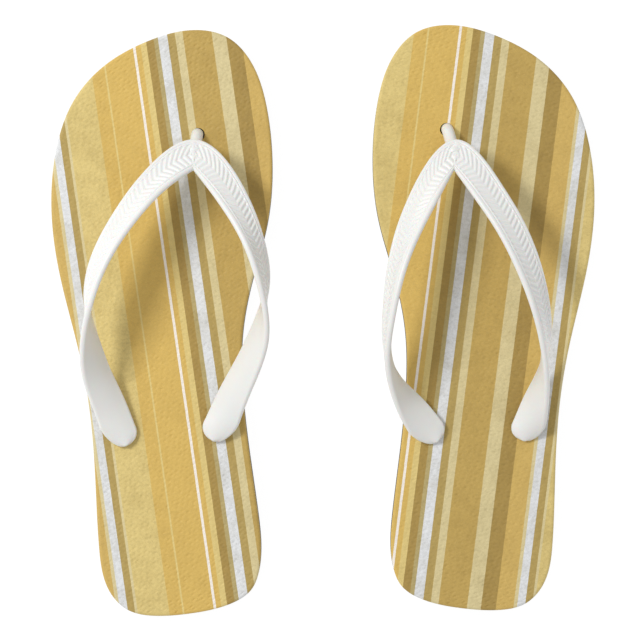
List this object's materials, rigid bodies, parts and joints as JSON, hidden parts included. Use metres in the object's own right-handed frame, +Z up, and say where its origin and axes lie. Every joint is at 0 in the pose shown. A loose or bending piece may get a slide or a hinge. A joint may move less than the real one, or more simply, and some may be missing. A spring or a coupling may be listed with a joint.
{
  "type": "pair of flip flops",
  "caption": "Pair of flip flops with layered soles that bend at the ball of the foot, a striped footbed, and a one-piece soft V strap held by plugs under the sole.",
  "frame": {"origin": "on the ground at the middle of the pair, under the centre of its bounding box", "axes": "+Y towards the toes, +Z up, +X from the left sandal to the right sandal"},
  "size_m": [0.2539, 0.2762, 0.0569],
  "materials": {
    "footbed": "printed foam skin in long stripes of gold, olive, khaki and white, with a fine moulded grain",
    "midsole": "matt dark foam with closed pores",
    "outsole": "matt black rubber with cross grooves",
    "strap": "soft white vinyl, satin, with a raised herringbone along the front of each band"
  },
  "bodies": {
    "left_heel": {"outsole_heel_left": "outsole", "midsole_heel_left": "midsole", "footbed_heel_left": "footbed", "strap_left": "strap"},
    "left_forefoot": {"outsole_forefoot_left": "outsole", "midsole_forefoot_left": "midsole", "footbed_forefoot_left": "footbed"},
    "right_heel": {"outsole_heel_right": "outsole", "midsole_heel_right": "midsole", "footbed_heel_right": "footbed", "strap_right": "strap"},
    "right_forefoot": {"outsole_forefoot_right": "outsole", "midsole_forefoot_right": "midsole", "footbed_forefoot_right": "footbed"}
  },
  "joints": [
    {"name": "left_sole_flex", "type": "hinge", "parent": "left_heel", "child": "left_forefoot", "pos_m": [-0.08699, 0.03928, 0.016], "axis": [0.9898, 0.1426, 0], "range_deg": [0, 40], "stiffness_Nm_per_rad": 1.5, "deforming": ["strap_left"]},
    {"name": "right_sole_flex", "type": "hinge", "parent": "right_heel", "child": "right_forefoot", "pos_m": [0.08731, 0.0421, 0.016], "axis": [0.9921, -0.1253, 0], "range_deg": [0, 40], "stiffness_Nm_per_rad": 1.5, "deforming": ["strap_right"]},
    {"name": "right_sandal_lift", "type": "slide", "parent": "left_heel", "child": "right_heel", "axis": [0, 0, 1], "range_m": [0, 0.3]}
  ]
}
